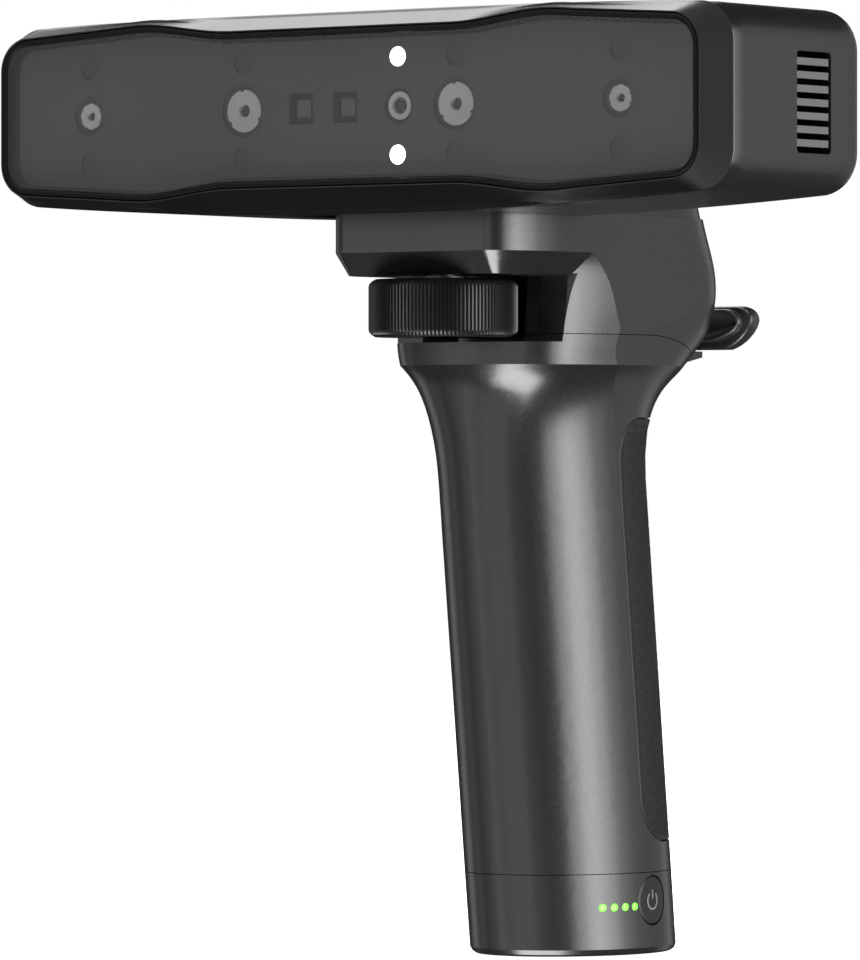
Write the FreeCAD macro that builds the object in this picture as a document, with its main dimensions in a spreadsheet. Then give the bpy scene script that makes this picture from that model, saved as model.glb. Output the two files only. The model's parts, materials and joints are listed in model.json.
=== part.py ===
import FreeCAD, Part
import math
import os
import Sketcher
from FreeCAD import Placement, Rotation, Vector

# Handheld structured-light scanner: a long sensor head on a battery handle.
# +X runs along the head, the sensors look towards -Y, +Z is up.
# The origin is the centre of the handle's foot, on its bottom plane. All sizes are in millimetres.

dimensions = {
    # sensor head
    "headLength": 175.0,
    "headTop": 184.4,
    "headCrown": 0.8,
    "headBottom": 145.25,
    "headBottomRise": 2.9,
    "headFront": -76.0,
    "rimDepth": 7.0,
    "headRear": -24.9,
    "headCorner": 7.8,
    "rearRound": 3.2,
    "headWall": 2.0,
    "sightLine": 165.7,
    # front window
    "windowLength": 166.0,
    "windowWaist": 27.8,
    "windowPeak": 31.8,
    "windowEnd": 28.4,
    "windowCorner": 5.0,
    "windowThick": 1.4,
    "gasketWide": 1.2,
    # optics behind the window
    "opticsGap": 1.6,
    "opticsThick": 2.0,
    "farCameraPlace": 64.2,
    "nearCameraPlace": 25.7,
    "farCameraRadius": 3.8,
    "nearCameraRadius": 5.2,
    "farLensRadius": 2.5,
    "nearLensRadius": 4.1,
    "colourPlace": 12.3,
    "colourRadius": 3.5,
    "colourLensRadius": 1.9,
    "projectorPlace": -6.05,
    "projectorPitch": 10.7,
    "projectorSize": 5.9,
    "lampDrop": 9.4,
    "whiteLampPlace": 12.0,
    "whiteLampRadius": 1.9,
    "nightLampRadius": 2.3,
    # side vents
    "ventFront": -48.1,
    "ventWide": 11.4,
    "ventBottom": 155.6,
    "ventTall": 19.3,
    "ventBars": 7.0,
    "slotPitch": 2.39,
    "ventSlot": 1.22,
    # handle
    "gripHalfWide": 18.7,
    "gripHalfDeep": 23.8,
    "gripLean": 0.112,
    "gripStart": 0.9,
    "gripWall": 2.0,
    "capTop": 16.3,
    "seamHeight": 122.5,
    "seamRearDrop": 6.0,
    "seamGap": 0.15,
    "deckTop": 146.0,
    "deckBottom": 134.0,
    "deckHalfWide": 24.4,
    "deckFront": -52.5,
    "deckCornerWide": 7.5,
    "deckCornerDeep": 18.0,
    "deckBevelIn": 2.9,
    "deckBevelUp": 4.4,
    "padGap": 0.6,
    "notchBottom": 121.0,
    "notchBack": -25.4,
    "notchSideBack": -29.2,
    # clamp wheel and screw
    "wheelPlace": -42.5,
    "wheelRadius": 14.6,
    "wheelBottom": 121.9,
    "wheelTop": 133.2,
    "wheelBevel": 1.2,
    "screwRadius": 3.1,
    "threadRadius": 3.175,
    # rubber pad on the grip
    "padBottom": 22.0,
    "padTop": 106.4,
    "padThick": 0.9,
    "padCorner": 9.0,
    # foot
    "buttonRadius": 4.85,
    "buttonHeight": 10.6,
    "batteryLampHeight": 9.6,
    "batteryLampRadius": 0.85,
    # cam lever behind the neck
    "leverPinX": -10.0,
    "leverPinY": 29.6,
    "leverPinRadius": 1.5,
    "leverBottom": 120.2,
    "leverTop": 128.9,
    "leverReach": 34.4,
    "leverThick": 3.4,
}

doc = FreeCAD.newDocument("handheldScanner")
sheet = doc.addObject("Spreadsheet::Sheet", "Sizes")
for row, (alias, value) in enumerate(dimensions.items(), start=1):
    sheet.set(f"A{row}", alias)
    sheet.set(f"B{row}", str(value))
    sheet.setAlias(f"B{row}", alias)
doc.recompute()

nodes = []


def size(alias):
    return float(getattr(sheet, alias))


def bind(obj, **expressions):
    # Each keyword is a property, with a double underscore for a dot.
    for prop, text in expressions.items():
        obj.setExpression(prop.replace("__", "."), str(text))
    return obj


def block(name, x, y, z, length, width, height):
    # Box from its low corner, all six values as sheet expressions.
    obj = doc.addObject("Part::Box", name)
    return bind(
        obj,
        Length=length,
        Width=width,
        Height=height,
        Placement__Base__x=x,
        Placement__Base__y=y,
        Placement__Base__z=z,
    )


turns = {
    "+Z": Rotation(),
    "-Z": Rotation(Vector(1, 0, 0), 180),
    "-Y": Rotation(Vector(1, 0, 0), 90),
    "+Y": Rotation(Vector(1, 0, 0), -90),
    "+X": Rotation(Vector(0, 1, 0), 90),
    "-X": Rotation(Vector(0, 1, 0), -90),
}


def rod(name, x, y, z, radius, length, facing="+Z"):
    obj = doc.addObject("Part::Cylinder", name)
    obj.Placement = Placement(Vector(), turns[facing])
    return bind(
        obj,
        Radius=radius,
        Height=length,
        Placement__Base__x=x,
        Placement__Base__y=y,
        Placement__Base__z=z,
    )


def cut(name, base, *tools):
    for number, tool in enumerate(tools):
        last = number == len(tools) - 1
        obj = doc.addObject("Part::Cut", name if last else f"{name}_step{number}")
        obj.Base = base
        obj.Tool = tool
        base = obj
    return base


def fuse(name, *pieces):
    obj = doc.addObject("Part::MultiFuse", name)
    obj.Shapes = list(pieces)
    return obj


def common(name, first, second):
    obj = doc.addObject("Part::MultiCommon", name)
    obj.Shapes = [first, second]
    return obj


def group(name, *pieces):
    obj = doc.addObject("Part::Compound", name)
    obj.Links = list(pieces)
    return obj


def shaped(name, shape):
    obj = doc.addObject("Part::Feature", name)
    obj.Shape = shape
    obj.Placement = Placement()
    return obj


def node(obj, label):
    obj.Label = label
    nodes.append(obj)
    return obj


def planeOf(body, role):
    return next(item for item in body.Origin.OriginFeatures if item.Role == role)


def roundProfile(sketch, centreX, centreY, radiusExpression):
    # One full circle whose radius is bound to the sheet.
    circle = Part.Circle(Vector(centreX, centreY, 0), Vector(0, 0, 1), 1.0)
    number = sketch.addGeometry(circle, False)
    spot = sketch.addConstraint(Sketcher.Constraint("Radius", number, 1.0))
    sketch.setExpression(f"Constraints[{spot}]", radiusExpression)


# Outlines of the head.

cornerSteps = 7
edgeSteps = 26


def smoothStep(start, end, value):
    part = min(max((value - start) / (end - start), 0.0), 1.0)
    return part * part * (3.0 - 2.0 * part)


def windowHalfHeight(x):
    # A waist in the middle, a soft wave up to a peak, then a straight taper to the end.
    waist = size("windowWaist") / 2
    peak = size("windowPeak") / 2
    end = size("windowEnd") / 2
    waistEnds, peakStands, taperEnds = 27.0, 49.0, 77.0
    rise = smoothStep(waistEnds, peakStands, abs(x)) * (peak - waist)
    fall = max(abs(x) - peakStands, 0.0) / (taperEnds - peakStands) * (peak - end)
    return waist + rise - fall


def outline(depth, halfLength, top, bottom, corner):
    # Closed smooth curve at one depth: top edge, right end, bottom edge and left end.
    reach = halfLength - corner
    points = []

    def cornerPoints(cx, cz, start):
        for step in range(1, cornerSteps):
            angle = math.radians(start - 90.0 * step / cornerSteps)
            points.append(Vector(cx + corner * math.cos(angle), depth, cz + corner * math.sin(angle)))

    for step in range(edgeSteps + 1):
        x = -reach + 2 * reach * step / edgeSteps
        points.append(Vector(x, depth, top(x)))
    cornerPoints(reach, top(reach) - corner, 90.0)
    highEnd = top(reach) - corner
    lowEnd = bottom(reach) + corner
    for step in range(4):
        points.append(Vector(halfLength, depth, highEnd + (lowEnd - highEnd) * step / 3))
    cornerPoints(reach, lowEnd, 0.0)
    for step in range(edgeSteps + 1):
        x = reach - 2 * reach * step / edgeSteps
        points.append(Vector(x, depth, bottom(x)))
    cornerPoints(-reach, lowEnd, -90.0)
    for step in range(4):
        points.append(Vector(-halfLength, depth, lowEnd + (highEnd - lowEnd) * step / 3))
    cornerPoints(-reach, highEnd, 180.0)
    curve = Part.BSplineCurve()
    curve.interpolate(points, PeriodicFlag=True)
    return Part.Wire([curve.toShape()])


def windowOutline(depth, grow):
    def half(x):
        return windowHalfHeight(x) + grow

    sight = size("sightLine")
    return outline(
        depth,
        size("windowLength") / 2 + grow,
        lambda x: sight + half(x),
        lambda x: sight - half(x),
        size("windowCorner") + grow,
    )


def headOutline(depth, inset):
    # The underside climbs towards both ends, and the top falls a little there.
    half = size("headLength") / 2 - inset

    def top(x):
        return size("headTop") - inset - size("headCrown") * (x / 80.0) ** 4

    def bottom(x):
        return size("headBottom") + inset + size("headBottomRise") * (x / 80.0) ** 2

    return outline(depth, half, top, bottom, size("headCorner") - inset * 0.6)


def solidFrom(wires):
    return Part.makeLoft(wires, True, True)


windowFace = size("headFront")
rimPlane = windowFace + size("rimDepth")
wall = size("headWall")
windowBack = windowFace + size("windowThick")

# Head shells and window.

bezelForm = solidFrom([windowOutline(windowFace, size("gasketWide") + 0.3), headOutline(rimPlane, 0.0)])
bezelOpening = solidFrom(
    [windowOutline(windowFace - 1, size("gasketWide")), windowOutline(windowFace + 4, size("gasketWide"))]
)
bezelHollow = solidFrom([windowOutline(windowFace + 3.9, 0.4), headOutline(rimPlane + 0.1, wall + 0.2)])
node(shaped("headBezel", bezelForm.cut(bezelOpening).cut(bezelHollow)), "head_bezel")

gasketOuter = solidFrom(
    [windowOutline(windowFace + 0.1, size("gasketWide")), windowOutline(windowFace + 2.4, size("gasketWide"))]
)
gasketInner = solidFrom([windowOutline(windowFace - 1, 0.0), windowOutline(windowFace + 3, 0.0)])
node(shaped("windowGasket", gasketOuter.cut(gasketInner)), "window_gasket")
windowSolid = solidFrom([windowOutline(windowFace + 0.1, 0.0), windowOutline(windowBack + 0.1, 0.0)])
node(shaped("frontWindow", windowSolid), "front_window")


def housingForm(grow, front, rear):
    # The rear edge is rounded in three steps.
    roundness = size("rearRound")
    return solidFrom(
        [
            headOutline(front, grow),
            headOutline(rear - roundness, grow),
            headOutline(rear - roundness * 0.3, grow + roundness * 0.29),
            headOutline(rear, grow + roundness),
        ]
    )


housing = shaped("housingForm", housingForm(0.0, rimPlane, size("headRear")))
housingHollow = shaped("housingHollow", housingForm(wall, rimPlane - 1, size("headRear") - wall))
ventWindows = [
    block(
        f"ventWindow{side}",
        "Sizes.headLength / 2 - 4" if side == "Right" else "-Sizes.headLength / 2 - 4",
        "Sizes.ventFront",
        "Sizes.ventBottom",
        "8",
        "Sizes.ventWide",
        "Sizes.ventTall",
    )
    for side in ("Right", "Left")
]
insertBottom = "Sizes.deckTop + Sizes.padGap + 0.05"
insertHole = rod("insertHole", "0", "Sizes.wheelPlace", "Sizes.headBottom - 2", "4.8", "12")
keyHole = rod("keyHole", "0", "Sizes.headRear + 2", "Sizes.sightLine", "6.8", "6", "-Y")
socketHole = block("socketHole", "-64.6", "Sizes.headRear - 5", "155.4", "9.2", "7", "3.4")
dockPocket = block(
    "dockPocket",
    "-Sizes.deckHalfWide - 0.6",
    "Sizes.headFront + 9.5",
    "Sizes.headBottom - 2",
    "2 * Sizes.deckHalfWide + 1.2",
    "60",
    "Sizes.deckTop + Sizes.padGap - Sizes.headBottom + 2",
)
node(
    cut("headHousing", housing, housingHollow, dockPocket, *ventWindows, insertHole, keyHole, socketHole),
    "head_housing",
)


def ventGrille(name, side):
    # Flat plate in the wall with a row of slots. The bars between the slots stay.
    low = f"{'' if side > 0 else '-'}Sizes.headLength / 2 {'- 2.1' if side > 0 else '+ 0.6'}"
    clear = 0.02
    plate = block(
        f"{name}Plate",
        low,
        f"Sizes.ventFront + {clear}",
        f"Sizes.ventBottom + {clear}",
        "1.5",
        f"Sizes.ventWide - {2 * clear}",
        f"Sizes.ventTall - {2 * clear}",
    )
    slots = [
        block(
            f"{name}Slot{number}",
            f"{low} - 1",
            "Sizes.ventFront + 0.8",
            f"Sizes.ventBottom + Sizes.ventTall / 2 - Sizes.ventSlot / 2 + {number - 3.5} * Sizes.slotPitch",
            "4",
            "Sizes.ventWide - 1.6",
            "Sizes.ventSlot",
        )
        for number in range(int(size("ventBars")) + 1)
    ]
    return cut(name, plate, *slots)


node(ventGrille("ventRight", 1), "vent_grille_right")
node(ventGrille("ventLeft", -1), "vent_grille_left")

# Optics.

opticsFront = "(Sizes.headFront + Sizes.windowThick + Sizes.opticsGap)"
opticsPlateForm = shaped(
    "opticsPlateForm",
    solidFrom(
        [
            windowOutline(windowBack + size("opticsGap"), -0.8),
            windowOutline(windowBack + size("opticsGap") + size("opticsThick"), -0.8),
        ]
    ),
)

cameras = {
    "far_left": ("-Sizes.farCameraPlace", "Sizes.farCameraRadius", "Sizes.farLensRadius"),
    "near_left": ("-Sizes.nearCameraPlace", "Sizes.nearCameraRadius", "Sizes.nearLensRadius"),
    "colour": ("Sizes.colourPlace", "Sizes.colourRadius", "Sizes.colourLensRadius"),
    "near_right": ("Sizes.nearCameraPlace", "Sizes.nearCameraRadius", "Sizes.nearLensRadius"),
    "far_right": ("Sizes.farCameraPlace", "Sizes.farCameraRadius", "Sizes.farLensRadius"),
}

opticsHoles = []
for label, (place, radius, lens) in cameras.items():
    opticsHoles.append(
        rod(f"hole_{label}", place, f"{opticsFront} - 1", "Sizes.sightLine", radius, "6", "+Y")
    )
    start = f"{opticsFront} + 0.6"
    barrel = rod(f"barrelOuter_{label}", place, start, "Sizes.sightLine", f"{radius} - 0.05", "14", "+Y")
    bore = rod(f"barrelBore_{label}", place, f"{opticsFront} - 1", "Sizes.sightLine", lens, "5.6", "+Y")
    node(cut(f"barrel_{label}", barrel, bore), f"camera_barrel_{label}")
    glass = rod(
        f"lens_{label}", place, f"{opticsFront} + 2.2", "Sizes.sightLine", f"{lens} - 0.05", "2.3", "+Y"
    )
    node(glass, f"camera_lens_{label}")

for label, side in (("left", -1), ("right", 1)):
    middle = f"(Sizes.projectorPlace + {side} * Sizes.projectorPitch / 2)"
    window = block(
        f"projectorHole_{label}",
        f"{middle} - Sizes.projectorSize / 2",
        f"{opticsFront} - 1",
        "Sizes.sightLine - Sizes.projectorSize / 2",
        "Sizes.projectorSize",
        "6",
        "Sizes.projectorSize",
    )
    opticsHoles.append(window)
    body = block(
        f"projectorBody_{label}",
        f"{middle} - Sizes.projectorSize / 2 + 0.05",
        f"{opticsFront} + 0.5",
        "Sizes.sightLine - Sizes.projectorSize / 2 + 0.05",
        "Sizes.projectorSize - 0.1",
        "10",
        "Sizes.projectorSize - 0.1",
    )
    pocket = block(
        f"projectorPocket_{label}",
        f"{middle} - Sizes.projectorSize / 2 + 1",
        f"{opticsFront} - 1",
        "Sizes.sightLine - Sizes.projectorSize / 2 + 1",
        "Sizes.projectorSize - 2",
        "2.2",
        "Sizes.projectorSize - 2",
    )
    node(cut(f"projector_{label}", body, pocket), f"pattern_projector_{label}")

for label, side in (("upper", 1), ("lower", -1)):
    high = f"Sizes.sightLine + {side} * Sizes.lampDrop"
    hole = rod(
        f"lampHole_{label}",
        "Sizes.whiteLampPlace",
        f"{opticsFront} - 1",
        high,
        "Sizes.whiteLampRadius",
        "6",
        "+Y",
    )
    opticsHoles.append(hole)
    lamp = rod(
        f"lamp_{label}",
        "Sizes.whiteLampPlace",
        f"{opticsFront} + 0.3",
        high,
        "Sizes.whiteLampRadius - 0.05",
        "3",
        "+Y",
    )
    node(lamp, f"white_led_{label}")

nightLamps = []
for spot in ("farCameraPlace", "nearCameraPlace"):
    for side in (-1, 1):
        for rise in (-1, 1):
            tag = f"{spot}_{'a' if side < 0 else 'b'}{'a' if rise < 0 else 'b'}"
            place = f"{side} * Sizes.{spot}"
            high = f"Sizes.sightLine + {rise} * Sizes.lampDrop"
            outer = "Sizes.nightLampRadius"
            inner = "Sizes.nightLampRadius - 0.05"
            opening = rod(f"nightHole_{tag}", place, f"{opticsFront} - 1", high, outer, "6", "+Y")
            opticsHoles.append(opening)
            nightLamps.append(rod(f"night_{tag}", place, f"{opticsFront} + 0.4", high, inner, "3", "+Y"))
node(group("nightLamps", *nightLamps), "infrared_leds")
node(cut("opticsPlate", opticsPlateForm, *opticsHoles), "optics_frame")

sensorBoard = block("sensorBoard", "-76", "-56", "153", "152", "1.6", "25")
node(sensorBoard, "sensor_board")
heatSinkBase = block("heatSinkBase", "-45", "-54.3", "155", "90", "2", "22")
fins = [
    block(f"fin{number}", f"-45 + {number} * 8", "-52.4", "155", "1.4", "7", "22") for number in range(12)
]
node(fuse("heatSink", heatSinkBase, *fins), "heat_sink")
node(block("mainBoard", "-70", "-41", "156", "140", "1.6", "22"), "main_board")

socketShell = block("socketShell", "-64.5", "Sizes.headRear - 7.8", "155.45", "9", "6.6", "3.3")
socketMouth = block("socketMouth", "-64.1", "Sizes.headRear - 5.8", "155.85", "8.2", "6", "2.5")
node(cut("usbSocket", socketShell, socketMouth), "usb_socket")

keyCap = rod("keyCap", "0", "Sizes.headRear + 0.8", "Sizes.sightLine", "6.5", "4", "-Y")
node(keyCap, "scan_button")
node(block("keySwitch", "-3", "Sizes.headRear - 7.4", "Sizes.sightLine - 3", "6", "3.4", "6"), "scan_switch")

headScrews = []
for side in (-1, 1):
    for high in (153.5, 177.5):
        tag = f"{'a' if side < 0 else 'b'}{'a' if high < 165 else 'b'}"
        headScrews.append(
            rod(f"headScrew_{tag}", f"{side} * 78", "Sizes.headRear - 4.5", str(high), "1.2", "3.4", "-Y")
        )
insertBody = rod("insertBody", "0", "Sizes.wheelPlace", insertBottom, "4.75", "7.5")
insertBore = rod("insertBore", "0", "Sizes.wheelPlace", "Sizes.headBottom - 2", "Sizes.threadRadius", "14")
node(cut("tripodInsert", insertBody, insertBore), "tripod_insert")

# Handle.

quarter = 0.5523


def ring(height, halfWide, front, rear, frontSquare=quarter, rearSquare=quarter, middle=None, flank=0.0):
    # Closed section of the handle from four curves, one to a quarter.
    # Front, rear and middle are Y values. The squareness fills out the corners, and the flank
    # pulls the front quarters inwards, which leaves a crease at the widest place.
    middle = gripMiddle(height) if middle is None else middle
    edges = []
    for side in (1, -1):
        nose = Vector(0, front, height)
        widest = Vector(side * halfWide, middle, height)
        tail = Vector(0, rear, height)
        frontPoles = [
            nose,
            Vector(side * frontSquare * (halfWide - flank), front, height),
            Vector(side * (halfWide - flank), middle + frontSquare * (front - middle), height),
            widest,
        ]
        rearPoles = [
            widest,
            Vector(side * halfWide, middle + rearSquare * (rear - middle), height),
            Vector(side * rearSquare * halfWide, rear, height),
            tail,
        ]
        quarters = [frontPoles, rearPoles]
        if side < 0:
            quarters = [rearPoles[::-1], frontPoles[::-1]]
        for poles in quarters:
            curve = Part.BezierCurve()
            curve.setPoles(poles)
            edges.append(curve.toShape())
    return Part.Wire(edges)


def gripMiddle(height):
    return size("gripStart") - size("gripLean") * height


def gripRing(height, inset=0.0):
    middle = gripMiddle(height)
    deep = size("gripHalfDeep") - inset
    return ring(height, size("gripHalfWide") - inset, middle - deep, middle + deep)


def section(height, wide, crease, flank, ends, square):
    # The crease is the Y of the widest place, and the ends are the front and the rear.
    return {"height": height, "wide": wide, "crease": crease, "flank": flank, "ends": ends, "square": square}


# The flared neck, from the grip up to the deck.
flareStart = 84.0
flareSections = [
    section(94.0, 18.7, -9.63, 0.0, (-33.43, 14.17), (0.552, 0.552)),
    section(99.0, 18.85, -10.6, 0.15, (-34.1, 14.05), (0.556, 0.556)),
    section(104.0, 19.3, -12.0, 0.5, (-34.9, 14.4), (0.575, 0.58)),
    section(108.5, 20.2, -13.7, 1.1, (-35.6, 15.3), (0.61, 0.625)),
    section(112.5, 21.5, -15.3, 1.8, (-36.4, 17.0), (0.67, 0.70)),
    section(116.6, 23.6, -16.9, 2.6, (-38.1, 19.8), (0.78, 0.79)),
]
collarSections = [
    flareSections[-1],
    section(122.5, 24.2, -17.4, 2.9, (-38.3, 23.5), (0.80, 0.92)),
    section(128.0, 24.9, -16.2, 3.4, (-38.3, 24.3), (0.80, 0.98)),
    section(133.5, 25.2, -18.0, 3.6, (-38.3, 24.1), (0.80, 1.0)),
    section(139.0, 25.2, -25.0, 3.6, (-38.3, 23.2), (0.80, 1.0)),
    section(146.0, 25.2, -27.0, 3.6, (-38.3, 21.2), (0.80, 0.97)),
]


def neckRing(section, inset):
    front, rear = section["ends"]
    frontSquare, rearSquare = section["square"]
    return ring(
        section["height"],
        section["wide"] - inset,
        front + inset,
        rear - inset,
        frontSquare,
        rearSquare,
        section["crease"],
        section["flank"],
    )


def handleForm(inset):
    # A straight grip, a smooth flare that starts tangent to it, and a collar above a crease.
    straight = [gripRing(height, inset) for height in (size("capTop"), flareStart)]
    rising = [gripRing(height, inset) for height in (flareStart, flareStart + 5.0)]
    rising += [neckRing(section, inset) for section in flareSections]
    lower = Part.makeLoft(straight, True, True).fuse(Part.makeLoft(rising, True, False))
    half = size("deckHalfWide") - inset
    sides = Part.makeBox(2 * half, 120, 80, Vector(-half, -80, 80))
    upper = Part.makeLoft([neckRing(section, inset) for section in collarSections], True, False)
    return lower, upper.common(sides)


lowerForm, upperForm = handleForm(0.0)
lowerHollow, upperHollow = handleForm(size("gripWall"))
fullForm = lowerForm.fuse(upperForm)
fullHollow = lowerHollow.fuse(upperHollow)

# Side view of the parting line: level at the front, then an arc that dips at the rear.
seam = size("seamHeight")
dropStarts = Vector(0, -8, seam)
dropEnds = Vector(0, 26, seam - size("seamRearDrop") - 4.5)
seamArc = Part.Arc(dropStarts, Vector(0, 10, seam - 2.6), dropEnds).toShape()
below = [Vector(0, 40, 10), Vector(0, -90, 10), Vector(0, -90, seam)]
seamFace = Part.Face(
    Part.Wire(
        [
            seamArc,
            Part.makeLine(dropEnds, Vector(0, 40, dropEnds.z)),
            Part.makeLine(Vector(0, 40, dropEnds.z), below[0]),
            Part.makeLine(below[0], below[1]),
            Part.makeLine(below[1], below[2]),
            Part.makeLine(below[2], dropStarts),
        ]
    )
)
seamFace.translate(Vector(-40, 0, 0))
belowSeam = seamFace.extrude(Vector(80, 0, 0))


def notchOutline(x, back, lean, spread=0.0):
    # The finger notch seen from the side: open at the front, its back wall leaning with the neck.
    low, high = size("notchBottom") - spread, size("deckBottom") + spread
    return Part.makePolygon(
        [
            Vector(x, -62, low),
            Vector(x, back - lean, low),
            Vector(x, back, high),
            Vector(x, -62, high),
            Vector(x, -62, low),
        ]
    )


# Straight through the neck, deeper in the middle for the wheel, then widening towards both sides.
sideBack, deepBack = size("notchSideBack"), size("notchBack")
notch = Part.Face(notchOutline(-40, sideBack, 1.4)).extrude(Vector(80, 0, 0))
steps = [(-14.0, sideBack), (-8.0, deepBack), (8.0, deepBack), (14.0, sideBack)]
pocket = Part.makeLoft([notchOutline(x, back, 1.4) for x, back in steps], True, True)
notch = notch.fuse(pocket)
for side in (1, -1):
    innerEdge = notchOutline(side * 20.5, sideBack, 1.4)
    outerEdge = notchOutline(side * 26.0, sideBack + 2.8, 0.6, 1.2)
    notch = notch.fuse(Part.makeLoft([innerEdge, outerEdge], True, True))

# Deck plate with rounded front corners and a bevelled lower edge.
deckHalf = size("deckHalfWide")
deckFront = size("deckFront")


def deckOutline(height, inset):
    # Long rounded front corners, a quarter of an oval each.
    half, front = deckHalf - inset, deckFront + inset
    wide, deep = size("deckCornerWide") - inset, size("deckCornerDeep") - inset
    corners = []
    for side in (-1, 1):
        curve = Part.BezierCurve()
        curve.setPoles(
            [
                Vector(side * half, front + deep, height),
                Vector(side * half, front + deep * (1 - quarter), height),
                Vector(side * (half - wide * (1 - quarter)), front, height),
                Vector(side * (half - wide), front, height),
            ]
        )
        corners.append(curve.toShape())
    return Part.Wire(
        [
            Part.makeLine(Vector(-half, -12, height), Vector(-half, front + deep, height)),
            corners[0],
            Part.makeLine(Vector(-half + wide, front, height), Vector(half - wide, front, height)),
            corners[1],
            Part.makeLine(Vector(half, front + deep, height), Vector(half, -12, height)),
            Part.makeLine(Vector(half, -12, height), Vector(-half, -12, height)),
        ]
    )


bevelTop = size("deckBottom") + size("deckBevelUp")
deck = Part.makeLoft([deckOutline(bevelTop, 0.0), deckOutline(size("deckTop"), 0.0)], True, True)
deckRim = deckOutline(size("deckBottom"), size("deckBevelIn"))
deck = deck.fuse(Part.makeLoft([deckRim, deckOutline(bevelTop, 0.0)], True, True))

screwX, screwY = 0.0, size("wheelPlace")
deckHole = Part.makeCylinder(3.45, 20, Vector(screwX, screwY, size("deckBottom") - 2))
leverX, leverY = size("leverPinX"), size("leverPinY")
highLug = Part.makeCylinder(3.9, 3.2, Vector(leverX, leverY, size("leverTop") + 0.3)).fuse(
    Part.makeBox(7.8, 12, 3.2, Vector(leverX - 3.9, leverY - 12, size("leverTop") + 0.3))
)
lugTop = size("leverBottom") - 0.3
lowLug = Part.Face(
    Part.makePolygon(
        [
            Vector(-14.5, 18, lugTop),
            Vector(-14.5, leverY - 1, lugTop),
            Vector(-14.5, leverY - 1, lugTop - 1.2),
            Vector(-14.5, 18, lugTop - 3.2),
            Vector(-14.5, 18, lugTop),
        ]
    )
).extrude(Vector(26.5, 0, 0))
lowLug = lowLug.fuse(Part.makeCylinder(3.9, 3.2, Vector(leverX, leverY, lugTop - 3.2)))
pinHole = Part.makeCylinder(size("leverPinRadius") + 0.02, 40, Vector(leverX, leverY, 110))

neckSolid = fullForm.fuse(deck).cut(notch)
neckSolid = neckSolid.cut(belowSeam.translated(Vector(0, 0, size("seamGap"))))
neckHollow = Part.makeBox(36, 26, 22, Vector(-18, -18, 119))
neckSolid = neckSolid.cut(neckHollow).fuse([highLug, lowLug]).cut(deckHole).cut(pinHole)
node(shaped("neckShell", neckSolid.removeSplitter()), "neck_shell")

gripSolid = fullForm.common(belowSeam).cut(notch)
gripSolid = gripSolid.cut(fullHollow.common(Part.makeBox(80, 80, 114, Vector(-40, -60, 0))))

# The rubber pad wraps the rear half of the grip and sits in a shallow pocket of the same outline.
padLow, padHigh, padCorner = size("padBottom"), size("padTop"), size("padCorner")
padBend = padCorner * (1 - math.sqrt(0.5))


def padPoint(behind, height):
    return Vector(-40, gripMiddle(height) + behind, height)


padFace = Part.Face(
    Part.Wire(
        [
            Part.makeLine(padPoint(padCorner, padLow), padPoint(60, padLow)),
            Part.makeLine(padPoint(60, padLow), padPoint(60, padHigh)),
            Part.makeLine(padPoint(60, padHigh), padPoint(padCorner, padHigh)),
            Part.Arc(
                padPoint(padCorner, padHigh),
                padPoint(padBend, padHigh - padBend),
                padPoint(0, padHigh - padCorner),
            ).toShape(),
            Part.makeLine(padPoint(0, padHigh - padCorner), padPoint(0, padLow + padCorner)),
            Part.Arc(
                padPoint(0, padLow + padCorner),
                padPoint(padBend, padLow + padBend),
                padPoint(padCorner, padLow),
            ).toShape(),
        ]
    )
)
padZone = padFace.extrude(Vector(80, 0, 0))
padInnerLower, padInnerUpper = handleForm(size("padThick"))
padSolid = fullForm.cut(padInnerLower.fuse(padInnerUpper)).common(padZone)
gripSolid = gripSolid.cut(padSolid)
node(shaped("gripShell", gripSolid.removeSplitter()), "grip_shell")
node(shaped("gripPad", padSolid.removeSplitter()), "grip_pad")

# Thin rubber sheet between the deck and the pocket under the head.
deckSheet = block("deckSheet", "-19", "Sizes.deckFront + 3", "Sizes.deckTop", "38", "18", "Sizes.padGap")
sheetHole = rod("sheetHole", "0", "Sizes.wheelPlace", "Sizes.deckTop - 1", "5.2", "3")
node(cut("deckPad", deckSheet, sheetHole), "deck_pad")

coverForm = ring(size("deckTop"), 23.6, -24.4, 20.9, 0.97, 0.97)
coverTopForm = ring(size("deckTop") + 3.2, 23.2, -24.3, 20.2, 0.97, 0.97)
node(shaped("neckCover", Part.makeLoft([coverForm, coverTopForm], True, True)), "neck_cover")

# Foot of the handle.

capTop = size("capTop")
capOuter = Part.makeLoft(
    [
        gripRing(0.0, 1.2),
        gripRing(0.4, 0.5),
        gripRing(1.3, 0.05),
        gripRing(capTop - 0.15),
    ],
    True,
    True,
)
capInner = Part.makeLoft([gripRing(2.4, 2.0), gripRing(capTop + 1, 2.0)], True, True)
buttonY = gripMiddle(size("buttonHeight")) + 2.4
buttonSpot = Vector(10, buttonY, size("buttonHeight"))
buttonHole = Part.makeCylinder(size("buttonRadius") + 0.15, 10, buttonSpot, Vector(1, 0, 0))
lampSpots = [-11.6, -9.0, -6.3, -3.7]
lampHeight = size("batteryLampHeight")
lampHoles = [
    Part.makeCylinder(
        size("batteryLampRadius"), 12, Vector(9, gripMiddle(lampHeight) + spot, lampHeight), Vector(1, 0, 0)
    )
    for spot in lampSpots
]
chargeHole = Part.makeBox(9.4, 3.6, 6, Vector(-4.7, 6.2, -1))
footHoles = [Part.makeCylinder(1.3, 6, Vector(0, y, -1)) for y in (-14.0, 15.0)]
capSolid = capOuter.cut(capInner).cut(buttonHole).cut(chargeHole)
for hole in lampHoles + footHoles:
    capSolid = capSolid.cut(hole)
node(shaped("baseCap", capSolid), "base_cap")


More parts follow.
